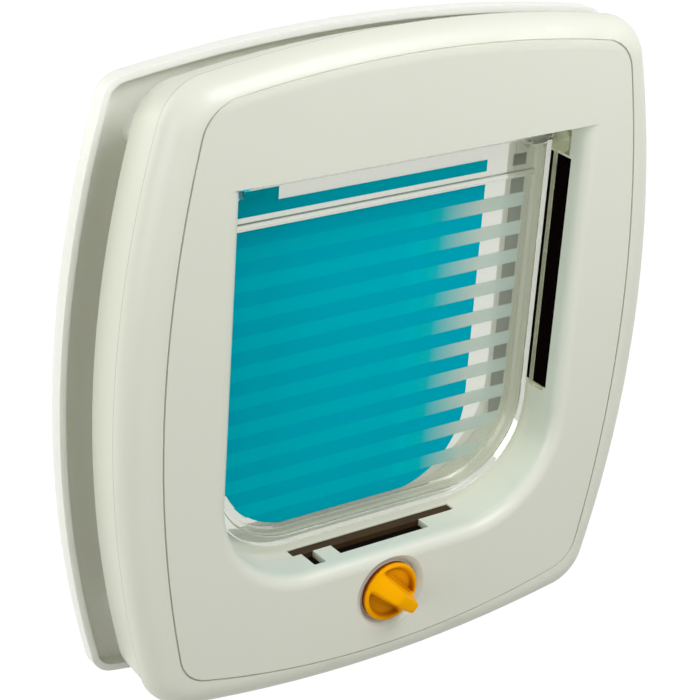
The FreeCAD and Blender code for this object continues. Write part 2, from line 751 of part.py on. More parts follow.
# Clear clips that slide into the tunnel walls from the room side and carry the hinge pins.
def build_hinge_clips():
    made = []
    for side, name in ((-1, "hinge_clip_left"), (1, "hinge_clip_right")):
        body = new_body(name)
        start = (d.passage_half_width - d.clip_proud) * side
        slack = d.clip_clearance
        add(body, "plate", "YZ_Plane", start, d.clip_thickness - slack,
            lambda s: draw_box(s, slack - d.clip_front,
                               -(d.hinge_y - d.clip_half_height) - slack,
                               d.hinge_height - d.clip_half_height + slack,
                               d.hinge_height + d.clip_half_height - slack, "plate"),
            backwards=side < 0)
        round_edges(body, "ends", d.clip_half_height * 0.85,
                    lambda e: abs(e.Vertexes[0].Point.x - e.Vertexes[-1].Point.x) > 0.5)
        cut(body, "pin_hole", "YZ_Plane", start, d.clip_thickness,
            lambda s: draw_circle(s, -d.hinge_y, d.hinge_height,
                                  d.pin_radius + d.pin_clearance, "pin"), forwards=side > 0)
        proud = d.clip_proud - d.strip_fit * 0.5
        leg_back = d.leg_width - d.leg_front
        add(body, "leg", "YZ_Plane", start, proud,
            lambda s: draw_box(s, -d.leg_front, leg_back, -(d.strip_bottom + d.leg_width),
                               d.hinge_height, "leg"), backwards=side < 0)
        add(body, "foot", "YZ_Plane", start, proud,
            lambda s: draw_box(s, -(d.strip_front - d.leg_width), leg_back,
                               -(d.strip_bottom + d.leg_width), -d.strip_bottom, "foot"),
            backwards=side < 0)
        made.append(body)
    return made


def build_strips():
    made = []
    fit = d.strip_fit
    for side, name in ((-1, "side_strip_left"), (1, "side_strip_right")):
        near = d.passage_half_width * side
        far = (d.passage_half_width + d.strip_thickness) * side
        across = (far, near) if side < 0 else (near, far)
        made.append(block(name, across,
                          (fit - d.strip_front, d.strip_width - d.strip_front - fit),
                          (fit - d.strip_bottom, d.strip_top - fit)))
    made.append(block("sill_strip", (fit - d.sill_left, d.sill_right - fit),
                      (fit - d.sill_front, d.sill_width - d.sill_front - fit),
                      (-(d.passage_floor + d.sill_thickness), -(d.passage_floor + 0.4))))
    return made


# Lock: knob on the room side, square shaft, two sector cams a quarter turn apart, the ring
# that keeps the knob in the cover and the bush in the back of the frame.
def square(half, name):
    def draw(sketch):
        draw_box(sketch, -half, half, -(d.lock_height + half), half - d.lock_height, name)
    return draw


def build_lock_shaft():
    body = new_body("lock_shaft")
    half = d.shaft_side * 0.5
    neck_back = cover_front + d.dish_depth + d.dish_boss_depth
    square_back = -(d.back_wall + 0.3)
    slab(body, "square", square_back, square_back - (neck_back - 3), square(half, "square"))
    slab(body, "journal", -size(0.3), d.back_wall + 0.2,
         lambda s: draw_circle(s, ZERO, -d.lock_height, d.journal_radius, "journal"))
    return body


def build_lock_bush():
    body = new_body("lock_bush")
    slab(body, "sleeve", ZERO, d.back_wall,
         lambda s: draw_circle(s, ZERO, -d.lock_height, d.bush_radius, "sleeve"))
    hollow(body, "bore", -(d.back_wall + 1), d.back_wall + 2,
           lambda s: draw_circle(s, ZERO, -d.lock_height,
                                 d.journal_radius + d.journal_clearance, "bore"))
    return body


def build_slot_liner():
    """Black channel under the sill slots, open below, that the front cam rises through."""
    body = new_body("slot_liner")
    top = -(d.passage_floor + d.tunnel_wall)
    left = -(d.tooth_slot_left + d.liner_margin)
    right = d.cam_radius + d.liner_margin * 2
    front = -(d.front_cam_front + d.cam_slot_gap + d.liner_wall)
    back = -d.sill_front
    add(body, "block", "XY_Plane", top, d.liner_depth,
        lambda s: draw_box(s, left, right, front, back, "block"), backwards=True)
    add(body, "tooth_pocket", "XY_Plane", top, d.liner_depth,
        lambda s: draw_box(s, left, d.tooth_slot_width + d.liner_margin - d.tooth_slot_left,
                           -d.tooth_slot_front, back, "pocket"), backwards=True)
    cut(body, "channel", "XY_Plane", top - d.liner_margin * 0.6, d.liner_depth,
        lambda s: draw_box(s, left + d.liner_wall, right - d.liner_wall,
                           front + d.liner_wall, back - d.liner_wall, "channel"))
    cut(body, "cam_slot", "XY_Plane", top + 1, d.liner_depth,
        lambda s: draw_box(s, -(d.cam_radius + 1), d.cam_radius + 1,
                           -(d.front_cam_front + d.cam_slot_gap * 0.5),
                           d.front_cam_thickness + d.cam_slot_gap * 0.5 - d.front_cam_front,
                           "slot"))
    return body


def build_cam(name, front, thickness, start_angle):
    """A sector of 150 degrees on a round hub, angles counted from straight up to the left."""
    body = new_body(name)
    back = thickness - front
    slab(body, "hub", back, thickness,
         lambda s: draw_circle(s, ZERO, -d.lock_height, d.cam_hub, "hub"))
    width = math.radians(150)
    begin = math.pi / 2 + math.radians(start_angle)
    radius = d.cam_radius.number
    z = -d.lock_height.number

    def sector(sketch):
        points = [(radius * math.cos(a), z + radius * math.sin(a))
                  for a in (begin, begin + width)]
        sketch.addGeometry([line((0, z), points[0]), arc((0, z), radius, begin, begin + width),
                            line(points[1], (0, z))], False)
        sketch.addConstraint(Sketcher.Constraint("Coincident", 0, 2, 1, 1))
        sketch.addConstraint(Sketcher.Constraint("Coincident", 1, 2, 2, 1))
        sketch.addConstraint(Sketcher.Constraint("Coincident", 2, 2, 0, 1))
        sketch.addConstraint(Sketcher.Constraint("Coincident", 1, 3, 0, 1))
        dimension(sketch, "Radius", (1,), d.cam_radius, "sector_radius")
        place(sketch, 1, 3, ZERO, -d.lock_height, "sector")
    slab(body, "sector", back, thickness, sector)
    hollow(body, "square_hole", back - thickness - 1, thickness + 2,
           square(d.shaft_side * 0.5 + d.shaft_fit, "hole"))
    return body


def build_lock_knob():
    """A tapered knob with a round foot, scooped on both sides so that a blade is left."""
    seat = cover_front.number + d.dish_depth.number
    foot_back = seat - 0.3
    foot_front = foot_back - d.knob_foot.number
    tip = cover_front.number - d.knob_reach.number
    wide, narrow = d.knob_radius.number, d.knob_tip_radius.number
    end_round = d.knob_tip_round.number
    neck = d.knob_neck_radius.number
    neck_back = seat + d.dish_boss_depth.number
    outline = [(0, neck_back), (neck, neck_back), (neck, foot_back), (wide, foot_back),
               (wide, foot_front), (narrow, tip), (0, tip)]
    corners = [FreeCAD.Vector(x, y, 0) for x, y in outline]
    face = Part.Face(Part.makePolygon(corners + corners[:1]))
    knob = face.revolve(FreeCAD.Vector(0, 0, 0), FreeCAD.Vector(0, 1, 0), 360)
    rims = [e for e in knob.Edges if e.Curve.TypeId == "Part::GeomCircle"
            and e.Vertexes[0].Point.y < foot_back - 0.01]
    knob = knob.makeFillet(end_round, rims)
    along = FreeCAD.Vector(0, 0, 1)
    reach = wide * 2
    for side in (-1, 1):
        middle = side * (d.knob_blade.number / 2 + d.scoop_radius.number)
        start = FreeCAD.Vector(middle, foot_front - d.scoop_height.number, -reach)
        knob = knob.cut(Part.makeCylinder(d.scoop_radius.number, reach * 2, start, along))
    knob.rotate(FreeCAD.Vector(0, 0, 0), FreeCAD.Vector(0, 1, 0), d.knob_turn.number)
    socket_half = d.shaft_side.number / 2 + d.shaft_fit.number
    knob = knob.cut(Part.makeBox(socket_half * 2, d.dish_boss_depth.number, socket_half * 2,
                                 FreeCAD.Vector(-socket_half, seat + 0.5, -socket_half)))
    made = document.addObject("Part::Feature", "lock_knob")
    made.Label = "lock_knob"
    made.Shape = knob
    made.Placement.Base = FreeCAD.Vector(0, 0, -d.lock_height.number)
    return made


def build_retaining_ring():
    body = new_body("knob_ring")
    back = cover_front + d.dish_depth + d.dish_boss_depth + d.ring_thickness + 0.3
    slab(body, "plate", back, d.ring_thickness,
         lambda s: draw_circle(s, ZERO, -d.lock_height, d.ring_radius, "plate"))
    hollow(body, "hole", back - d.ring_thickness - 1, d.ring_thickness + 2,
           square(d.shaft_side * 0.5 + d.shaft_fit, "hole"))
    return body


def build_screws():
    """Four like screws in one node."""
    solids = []
    for n, (x, z) in enumerate(screw_places()):
        shank = cylinder("screw_shank_%d" % n, d.screw_radius,
                         d.boss_height + outdoor_back - 3, x, -d.boss_height, z, (0, 1, 0))
        head = cylinder("screw_head_%d" % n, d.screw_head_radius, d.screw_head_height,
                        x, -(d.boss_height + d.screw_head_height), z, (0, 1, 0))
        screw = document.addObject("Part::Fuse", "screw_%d" % n)
        screw.Base = head
        screw.Tool = shank
        solids.append(screw)
    made = document.addObject("Part::Compound", "frame_screws")
    made.Label = "frame_screws"
    made.Links = solids
    return made


# Print on the flap, as thin films on the front of the plate: dark stripes, lighter bands
# between them that run further to the right, and a column of small squares.
def film_sheet(name, depth, draw):
    """Flat solid on the front of the plate, as deep as the film."""
    sketch = document.addObject("Sketcher::SketchObject", name + "_profile")
    sketch.Placement.Rotation = FreeCAD.Rotation(FreeCAD.Vector(1, 0, 0), 90)
    sketch.setExpression(".Placement.Base.y", (-d.plate_front).text)
    draw(sketch)
    made = document.addObject("Part::Extrusion", name)
    made.Base = sketch
    made.DirMode = "Normal"
    made.setExpression("LengthFwd", depth.text)
    made.Solid = True
    return made


def film_object(name, field, draw):
    """Rows of film, cut to the printed field."""
    made = document.addObject("Part::Common", name)
    made.Label = name
    made.Base = film_sheet(name + "_rows", d.film, draw)
    made.Tool = field
    return made


STRIPES_BELOW_RIB = 11


def stripe_rows():
    """Bottom and top of each stripe, from the one above the rib downwards."""
    yield d.top_stripe_top - d.top_stripe_height, d.top_stripe_top
    for n in range(STRIPES_BELOW_RIB):
        top = d.first_stripe_top - d.print_pitch * n
        yield top - d.stripe_height, top


def build_print():
    top = d.top_stripe_top + d.tab_height
    low = flap_bottom + d.rim_width + d.rim_bottom_extra

    def field(name, right, corner, bottom):
        middle = (right - d.print_left) * 0.5
        half = (right + d.print_left) * 0.5

        def draw(sketch):
            a, r = half.number, corner.number
            m, b, t = middle.number, bottom.number, top.number
            quarter = math.pi / 2
            sketch.addGeometry([
                line((m - a, t), (m - a, b + r)),
                arc((m - a + r, b + r), r, 2 * quarter, 3 * quarter),
                line((m - a + r, b), (m + a - r, b)),
                arc((m + a - r, b + r), r, 3 * quarter, 4 * quarter),
                line((m + a, b + r), (m + a, t)),
                line((m + a, t), (m - a, t))], False)
            join_tangent(sketch, [(n, 2, n + 1, 1) for n in range(4)])
            sketch.addConstraint(Sketcher.Constraint("Coincident", 4, 2, 5, 1))
            sketch.addConstraint(Sketcher.Constraint("Coincident", 5, 2, 0, 1))
            for n, kind in ((0, "Vertical"), (2, "Horizontal"), (4, "Vertical"),
                            (5, "Horizontal")):
                sketch.addConstraint(Sketcher.Constraint(kind, n))
            dimension(sketch, "Radius", (1,), corner, "left_corner")
            dimension(sketch, "Radius", (3,), corner, "right_corner")
            place(sketch, 0, 1, middle - half, top, "high")
            place(sketch, 4, 1, middle + half, None, "side")
            place(sketch, 2, 1, None, bottom, "low")
        return film_sheet(name, d.film, draw)

    def stripes(sketch):
        for n, (bottom, high) in enumerate(stripe_rows()):
            draw_box(sketch, -(d.print_left + 1), d.stripe_end + 1, bottom, high, "row_%d" % n)

    beside_barrel = -(flap_half_width - d.barrel_length - d.print_margin)
    below_barrel = d.hinge_height - d.barrel_radius - d.print_margin

    def tab_part(name, left, high):
        return film_sheet(name, d.film, lambda s: draw_box(
            s, left, d.tab_width - d.print_left, d.top_stripe_top - d.film, high, "tab"))

    def bands(sketch):
        rows = list(stripe_rows())[1:]
        for n in range(len(rows) - 1):
            draw_box(sketch, -(d.print_left + 1), d.print_left + 1, rows[n + 1][1], rows[n][0],
                     "band_%d" % n)

    def squares(sketch):
        for n, (bottom, high) in enumerate(list(stripe_rows())[:-2]):
            draw_box(sketch, d.square_right - d.square_side, d.square_right, bottom, high,
                     "square_%d" % n)

    floor = low + d.print_margin
    rows = film_object("print_rows", field("stripe_field", d.stripe_end, d.print_corner, floor),
                       stripes)
    tab = [tab_part("print_tab_low", -d.print_left, below_barrel),
           tab_part("print_tab_high", beside_barrel, top)]
    both = document.addObject("Part::MultiFuse", "print_stripes")
    both.Label = "print_stripes"
    both.Shapes = [rows] + tab
    wide = d.print_corner - d.print_margin
    return [both,
            film_object("print_bands", field("band_field", d.print_left, wide, floor), bands),
            film_object("print_squares", field("square_field", d.square_right, wide, floor),
                        squares)]


parts = [build_front_cover(), build_inner_frame(), build_rear_frame(), build_flap_panel()]
parts += build_hinge_pins()
parts += build_hinge_clips()
parts += build_strips()
parts.append(build_lock_shaft())
parts.append(build_lock_bush())
parts.append(build_slot_liner())
parts.append(build_cam("front_cam", d.front_cam_front, d.front_cam_thickness, 60))
parts.append(build_cam("rear_cam", d.rear_cam_front, d.rear_cam_thickness, 150))
parts.append(build_lock_knob())
parts.append(build_retaining_ring())
parts.append(build_screws())
parts += build_print()
document.recompute()

for thing in document.Objects:
    if "Invalid" in thing.State or "Error" in thing.State:
        raise RuntimeError("%s did not build: %s" % (thing.Name, thing.State))
for thing in parts:
    if thing.Shape.isNull() or not thing.Shape.isValid():
        raise RuntimeError("%s has no valid shape" % thing.Label)

os.makedirs("parts", exist_ok=True)
for thing in parts:
    thing.Shape.exportStep(os.path.join("parts", thing.Label + ".step"))
    box = thing.Shape.BoundBox
    print("%-18s solids %d  volume %8.1f  x %.1f..%.1f  y %.1f..%.1f  z %.1f..%.1f" % (
        thing.Label, len(thing.Shape.Solids), thing.Shape.Volume,
        box.XMin, box.XMax, box.YMin, box.YMax, box.ZMin, box.ZMax))
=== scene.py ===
import math

import bmesh
import bpy
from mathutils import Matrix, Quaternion, Vector


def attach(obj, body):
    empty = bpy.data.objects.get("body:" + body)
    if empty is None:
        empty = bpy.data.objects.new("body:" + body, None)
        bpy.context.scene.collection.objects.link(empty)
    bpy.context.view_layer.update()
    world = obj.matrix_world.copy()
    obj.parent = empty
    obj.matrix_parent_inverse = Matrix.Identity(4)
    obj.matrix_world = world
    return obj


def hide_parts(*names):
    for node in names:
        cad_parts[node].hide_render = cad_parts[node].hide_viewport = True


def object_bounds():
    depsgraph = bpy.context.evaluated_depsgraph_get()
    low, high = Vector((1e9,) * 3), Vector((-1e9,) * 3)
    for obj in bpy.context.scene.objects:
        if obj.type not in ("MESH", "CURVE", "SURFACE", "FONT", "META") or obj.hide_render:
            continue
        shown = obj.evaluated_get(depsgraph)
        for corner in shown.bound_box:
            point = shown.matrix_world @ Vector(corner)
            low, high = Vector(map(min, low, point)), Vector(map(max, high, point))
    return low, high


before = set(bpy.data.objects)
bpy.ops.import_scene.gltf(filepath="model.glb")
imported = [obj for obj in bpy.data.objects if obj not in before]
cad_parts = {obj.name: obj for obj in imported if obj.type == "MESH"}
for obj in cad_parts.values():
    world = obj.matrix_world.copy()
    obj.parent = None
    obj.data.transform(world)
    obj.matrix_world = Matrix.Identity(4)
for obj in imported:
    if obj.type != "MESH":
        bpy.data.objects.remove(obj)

cad_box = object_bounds()

# Camera
# The photograph looks down at the room side from the left, through a long lens held a few
# degrees off level. Place and tilt come from the straight stripes and the curved outlines.
MM = 0.001
camera_place = Vector((-427.47, -562.68, 324.34)) * MM
camera_forward = Vector((0.544019, 0.725341, -0.421809))
camera_roll = math.radians(4.085)
camera_data = bpy.data.cameras.new("camera")
camera_data.lens = 112.658
camera_data.sensor_width = 36
camera = bpy.data.objects.new("camera", camera_data)
camera.location = camera_place
camera.rotation_mode = "QUATERNION"
camera.rotation_quaternion = (camera_forward.to_track_quat("-Z", "Y")
                              @ Quaternion((0, 0, 1), camera_roll))
bpy.context.scene.collection.objects.link(camera)
bpy.context.scene.camera = camera

# Floor and light
# A plain white studio: a matt floor well below the frame, and broad lamps above the front, on
# the left, beside the camera and behind. The floor looks pure white where no shadow falls.
soft_light = (1.0, 1.0, 0.92)
soft_light_strength = 0.34
floor_drop = 0.10
floor_half_width = 6.0
floor_grey = (0.40, 0.40, 0.38)
floor_glow = 1.12
glow_share = 0.9
bpy.context.scene.view_settings.view_transform = "Standard"


def rays_that_see_white(tree):
    """Is Camera, Glossy or Transmission Ray, as one factor."""
    path = tree.nodes.new("ShaderNodeLightPath")
    camera_or_glass = tree.nodes.new("ShaderNodeMath")
    camera_or_glass.operation = "MAXIMUM"
    tree.links.new(path.outputs["Is Camera Ray"], camera_or_glass.inputs[0])
    tree.links.new(path.outputs["Is Transmission Ray"], camera_or_glass.inputs[1])
    any_of_them = tree.nodes.new("ShaderNodeMath")
    any_of_them.operation = "MAXIMUM"
    tree.links.new(camera_or_glass.outputs[0], any_of_them.inputs[0])
    tree.links.new(path.outputs["Is Glossy Ray"], any_of_them.inputs[1])
    return any_of_them.outputs[0]


world = bpy.data.worlds.new("studio")
bpy.context.scene.world = world
world.use_nodes = True
sky = world.node_tree
sky.nodes.clear()
ambient = sky.nodes.new("ShaderNodeBackground")
ambient.inputs["Color"].default_value = (*soft_light, 1)
ambient.inputs["Strength"].default_value = soft_light_strength
backdrop = sky.nodes.new("ShaderNodeBackground")
backdrop.inputs["Color"].default_value = (1, 1, 1, 1)
backdrop.inputs["Strength"].default_value = 1.0
choose = sky.nodes.new("ShaderNodeMixShader")
sky_out = sky.nodes.new("ShaderNodeOutputWorld")
sky.links.new(rays_that_see_white(sky), choose.inputs[0])
sky.links.new(ambient.outputs[0], choose.inputs[1])
sky.links.new(backdrop.outputs[0], choose.inputs[2])
sky.links.new(choose.outputs[0], sky_out.inputs[0])

floor_height = cad_box[0].z - floor_drop
floor_corners = [(x * floor_half_width, y * floor_half_width, floor_height)
                 for x, y in ((-1, -1), (1, -1), (1, 1), (-1, 1))]
floor_mesh = bpy.data.meshes.new("floor")
floor_mesh.from_pydata(floor_corners, [], [(0, 1, 2, 3)])
floor = bpy.data.objects.new("floor", floor_mesh)
bpy.context.scene.collection.objects.link(floor)
floor_paint = bpy.data.materials.new("studio_white")
floor_paint.use_nodes = True
tree = floor_paint.node_tree
tree.nodes.clear()
matt = tree.nodes.new("ShaderNodeBsdfDiffuse")
matt.inputs["Color"].default_value = (*floor_grey, 1)
glow = tree.nodes.new("ShaderNodeEmission")
glow.inputs["Strength"].default_value = floor_glow
share = tree.nodes.new("ShaderNodeMath")
share.operation = "MULTIPLY"
share.inputs[1].default_value = glow_share
mix = tree.nodes.new("ShaderNodeMixShader")
out = tree.nodes.new("ShaderNodeOutputMaterial")
tree.links.new(rays_that_see_white(tree), share.inputs[0])
tree.links.new(share.outputs[0], mix.inputs[0])
tree.links.new(matt.outputs[0], mix.inputs[1])
tree.links.new(glow.outputs[0], mix.inputs[2])
tree.links.new(mix.outputs[0], out.inputs[0])
floor_mesh.materials.append(floor_paint)


def softbox(name, place, width, power, tint):
    """A square area lamp that faces the middle of the cat flap."""
    data = bpy.data.lights.new(name, "AREA")
    data.size = width
    data.energy = power
    data.color = tint
    lamp = bpy.data.objects.new(name, data)
    lamp.location = place
    lamp.rotation_mode = "QUATERNION"
    lamp.rotation_quaternion = (-Vector(place)).to_track_quat("-Z", "Y")
    bpy.context.scene.collection.objects.link(lamp)


softbox("front_lamp", (0.20, -0.46, 0.58), width=0.4, power=4.2, tint=(0.94, 0.95, 1.0))
softbox("side_lamp", (-1.50, -0.40, 0.15), width=1.0, power=10.5, tint=(0.95, 0.97, 1.0))
softbox("fill_lamp", (-0.80, -1.15, 0.10), width=0.8, power=1.0, tint=(0.95, 0.97, 1.0))
softbox("back_lamp", (-0.90, 1.0, 0.40), width=0.9, power=8, tint=(1.0, 1.0, 0.98))


# White mouldings
# The cover, the frame behind it and the outdoor frame are injection-moulded ABS in a warm
# off-white, with a fine satin texture from the mould. They clip and screw together.
shut_line_y = -17 * MM
shut_line_half_width = 0.32 * MM
outer_wall_reach = 106 * MM


def new_finish(name):
    """A new material, with its node tree and its Principled shader."""
    finish = bpy.data.materials.new(name)
    finish.use_nodes = True
    return finish, finish.node_tree, finish.node_tree.nodes["Principled BSDF"]


def varied_colour(tree, shader, light, dark, scale):
    """Drifts the base colour slowly between two close tones."""
    place = tree.nodes.new("ShaderNodeTexCoord")
    noise = tree.nodes.new("ShaderNodeTexNoise")
    noise.inputs["Scale"].default_value = scale
    noise.inputs["Detail"].default_value = 3
    ramp = tree.nodes.new("ShaderNodeValToRGB")
    ramp.color_ramp.elements[0].position = 0.35
    ramp.color_ramp.elements[0].color = (*dark, 1)
    ramp.color_ramp.elements[1].position = 0.65
    ramp.color_ramp.elements[1].color = (*light, 1)
    tree.links.new(place.outputs["Object"], noise.inputs["Vector"])
    tree.links.new(noise.outputs["Fac"], ramp.inputs["Fac"])
    tree.links.new(ramp.outputs["Color"], shader.inputs["Base Color"])
    return place


def fine_grain(tree, shader, place, scale, depth, roughness):
    """Gives the surface a fine bump and lets its roughness drift a little."""
    grain = tree.nodes.new("ShaderNodeTexNoise")
    grain.inputs["Scale"].default_value = scale
    grain.inputs["Detail"].default_value = 4
    bump = tree.nodes.new("ShaderNodeBump")
    bump.inputs["Strength"].default_value = 0.25
    bump.inputs["Distance"].default_value = depth
    level = tree.nodes.new("ShaderNodeMapRange")
    level.inputs["To Min"].default_value = roughness - 0.05
    level.inputs["To Max"].default_value = roughness + 0.05
    tree.links.new(place.outputs["Object"], grain.inputs["Vector"])
    tree.links.new(grain.outputs["Fac"], bump.inputs["Height"])
    tree.links.new(grain.outputs["Fac"], level.inputs["Value"])
    tree.links.new(level.outputs["Result"], shader.inputs["Roughness"])
    tree.links.new(bump.outputs["Normal"], shader.inputs["Normal"])


def dress(node, finish):
    """Puts a finish on every material slot of a CAD node."""
    for material_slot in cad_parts[node].material_slots:
        material_slot.material = finish


def blend(tree, factor, first, second):
    """Mixes two colours by a factor. Each is a triple of numbers or comes from a node."""
    mix = tree.nodes.new("ShaderNodeMix")
    mix.data_type = "RGBA"
    tree.links.new(factor, mix.inputs["Factor"])
    for colour, socket in ((first, mix.inputs[6]), (second, mix.inputs[7])):
        if isinstance(colour, tuple):
            socket.default_value = (*colour, 1)
        else:
            tree.links.new(colour, socket)
    return mix.outputs[2]


def colour_before(shader):
    """The colour that reaches the shader so far."""
    return shader.inputs["Base Color"].links[0].from_socket


def axes_of(tree, place):
    """Splits the place on the object into X, Y and Z."""
    axes = tree.nodes.new("ShaderNodeSeparateXYZ")
    tree.links.new(place.outputs["Object"], axes.inputs["Vector"])
    return axes


def both(tree, first, second):
    """One where two tests are both met, and zero elsewhere."""
    product = tree.nodes.new("ShaderNodeMath")
    product.operation = "MULTIPLY"
    tree.links.new(first, product.inputs[0])
    tree.links.new(second, product.inputs[1])
    return product.outputs[0]


def shut_line(tree, shader, place, shade):
    """Draws the fine shadow where the cover meets the tray, on the outer side walls only."""
    axes = axes_of(tree, place)
    at_line = tree.nodes.new("ShaderNodeMath")
    at_line.operation = "COMPARE"
    at_line.inputs[1].default_value = shut_line_y
    at_line.inputs[2].default_value = shut_line_half_width
    tree.links.new(axes.outputs["Y"], at_line.inputs[0])
    across_face = tree.nodes.new("ShaderNodeCombineXYZ")
    tree.links.new(axes.outputs["X"], across_face.inputs["X"])
    tree.links.new(axes.outputs["Z"], across_face.inputs["Z"])
    reach = tree.nodes.new("ShaderNodeVectorMath")
    reach.operation = "LENGTH"
    tree.links.new(across_face.outputs[0], reach.inputs[0])
    outside = tree.nodes.new("ShaderNodeMath")
    outside.operation = "GREATER_THAN"
    outside.inputs[1].default_value = outer_wall_reach
    tree.links.new(reach.outputs["Value"], outside.inputs[0])
    on_line = both(tree, at_line.outputs[0], outside.outputs[0])
    shaded = blend(tree, on_line, colour_before(shader), shade)
    tree.links.new(shaded, shader.inputs["Base Color"])


white_abs, tree, shader = new_finish("white_abs")
place = varied_colour(tree, shader, (0.76, 0.77, 0.66), (0.74, 0.75, 0.64), scale=9)
fine_grain(tree, shader, place, scale=900, depth=0.04 * MM, roughness=0.38)
shut_line(tree, shader, place, (0.50, 0.53, 0.46))
for name in ("front_cover", "inner_frame"):
    dress(name, white_abs)

# The thin outdoor frame takes in a little light. Its base colour is also painted much lighter
# than the cover's, though it is the same plastic: painted light for it and the shaded channel
# behind.
outdoor_abs, tree, shader = new_finish("outdoor_abs")
shader.inputs["Subsurface Weight"].default_value = 0.5
shader.inputs["Subsurface Radius"].default_value = (1.0, 1.0, 0.8)
shader.inputs["Subsurface Scale"].default_value = 4 * MM
place = varied_colour(tree, shader, (0.93, 0.94, 0.85), (0.91, 0.92, 0.83), scale=9)
fine_grain(tree, shader, place, scale=900, depth=0.04 * MM, roughness=0.38)
dress("rear_frame", outdoor_abs)


# Flap
# One clear moulding in acrylic: a thin plate with a raised rim, a cross rib near the top and a
# barrel at each upper corner. It hangs on two pins, and the print's tab covers its left barrel.
acrylic_tone = (0.74, 0.755, 0.685)
tab_cyan = (0.0, 0.62, 0.78)
tab_right_edge = -57 * MM
tab_lower_edge = 63.5 * MM
acrylic_ior = 1.49


def beyond(tree, axis, limit, below):
    """One where the surface lies past a limit along an axis, and zero elsewhere."""
    test = tree.nodes.new("ShaderNodeMath")
    test.operation = "LESS_THAN" if below else "GREATER_THAN"
    test.inputs[1].default_value = limit
    tree.links.new(axis, test.inputs[0])
    return test.outputs[0]


def let_light_through(tree, shader, tint):
    """Lets lamps and soft light reach what lies behind the clear plastic."""
    path = tree.nodes.new("ShaderNodeLightPath")
    either = tree.nodes.new("ShaderNodeMath")
    either.operation = "MAXIMUM"
    clear = tree.nodes.new("ShaderNodeBsdfTransparent")
    clear.inputs["Color"].default_value = (*tint, 1)
    mix = tree.nodes.new("ShaderNodeMixShader")
    tree.links.new(path.outputs["Is Shadow Ray"], either.inputs[0])
    tree.links.new(path.outputs["Is Diffuse Ray"], either.inputs[1])
    tree.links.new(either.outputs[0], mix.inputs[0])
    tree.links.new(shader.outputs[0], mix.inputs[1])
    tree.links.new(clear.outputs[0], mix.inputs[2])
    tree.links.new(mix.outputs[0], tree.nodes["Material Output"].inputs["Surface"])


clear_acrylic, tree, shader = new_finish("clear_acrylic")
shader.inputs["Transmission Weight"].default_value = 0.85
shader.inputs["IOR"].default_value = acrylic_ior
place = tree.nodes.new("ShaderNodeTexCoord")
fine_grain(tree, shader, place, scale=60, depth=0.004 * MM, roughness=0.05)
let_light_through(tree, shader, (0.78, 0.80, 0.74))
axes = axes_of(tree, place)
over_barrel = both(tree, beyond(tree, axes.outputs["X"], tab_right_edge, below=True),
                   beyond(tree, axes.outputs["Z"], tab_lower_edge, below=False))
barrel_print = blend(tree, over_barrel, acrylic_tone, tab_cyan)
tree.links.new(barrel_print, shader.inputs["Base Color"])
dress("flap_panel", clear_acrylic)


# Hinge clips
# Two clear lugs of a softer, slightly olive plastic, pushed into pockets of the tunnel wall.
# Each holds one hinge pin and runs down beside the draught strip as a thin leg.
clip_ior = 1.49
clip_plastic, tree, shader = new_finish("clip_plastic")
shader.inputs["Transmission Weight"].default_value = 0.7
shader.inputs["IOR"].default_value = clip_ior
place = varied_colour(tree, shader, (0.80, 0.81, 0.66), (0.72, 0.74, 0.56), scale=180)
fine_grain(tree, shader, place, scale=250, depth=0.03 * MM, roughness=0.1)
let_light_through(tree, shader, (0.90, 0.90, 0.82))
for name in ("hinge_clip_left", "hinge_clip_right"):
    dress(name, clip_plastic)


# Print
# Screen-printed ink on the front of the plate: dark cyan stripes, painted lighter cyan towards
# the top tab as painted light against the shade under the cover's edge, lighter cyan bands that
# thin out to a pale tint on the right, and a column of grey squares.
tab_fade_start = 56 * MM
tab_fade_end = 70 * MM
painted_light_cyan = (0.0, 0.72, 0.92)
band_fade_start = 10 * MM
band_fade_end = 44 * MM
band_colours = ((0.0, 0.45, 0.54), (0.0, 0.53, 0.58), (0.62, 0.74, 0.66))
band_middle = 0.45
thinnest_cover = 0.55

dark_ink, tree, shader = new_finish("dark_cyan_ink")
shader.inputs["Specular IOR Level"].default_value = 0.0
place = varied_colour(tree, shader, (0.0, 0.40, 0.52), (0.0, 0.39, 0.505), scale=25)
# Painted light: the stripes turn lighter towards the top, against the shade under the cover's
# edge.
towards_top = tree.nodes.new("ShaderNodeMapRange")
towards_top.inputs["From Min"].default_value = tab_fade_start
towards_top.inputs["From Max"].default_value = tab_fade_end
tree.links.new(axes_of(tree, place).outputs["Z"], towards_top.inputs["Value"])
ink_with_painted_light = blend(tree, towards_top.outputs["Result"], colour_before(shader), painted_light_cyan)
tree.links.new(ink_with_painted_light, shader.inputs["Base Color"])
fine_grain(tree, shader, place, scale=400, depth=0.01 * MM, roughness=0.3)
dress("print_stripes", dark_ink)

light_ink, tree, shader = new_finish("light_cyan_ink")
shader.inputs["Specular IOR Level"].default_value = 0.0
place = tree.nodes.new("ShaderNodeTexCoord")
across = tree.nodes.new("ShaderNodeMapRange")
across.inputs["From Min"].default_value = band_fade_start
across.inputs["From Max"].default_value = band_fade_end
fade = tree.nodes.new("ShaderNodeValToRGB")
fade.color_ramp.elements[0].color = (*band_colours[0], 1)
fade.color_ramp.elements[1].color = (*band_colours[2], 1)
fade.color_ramp.elements.new(band_middle).color = (*band_colours[1], 1)
cover = tree.nodes.new("ShaderNodeMapRange")
cover.inputs["From Min"].default_value = 0.2
cover.inputs["From Max"].default_value = 1.0
cover.inputs["To Min"].default_value = 1.0
cover.inputs["To Max"].default_value = thinnest_cover
tree.links.new(axes_of(tree, place).outputs["X"], across.inputs["Value"])
tree.links.new(across.outputs["Result"], fade.inputs["Fac"])
tree.links.new(across.outputs["Result"], cover.inputs["Value"])
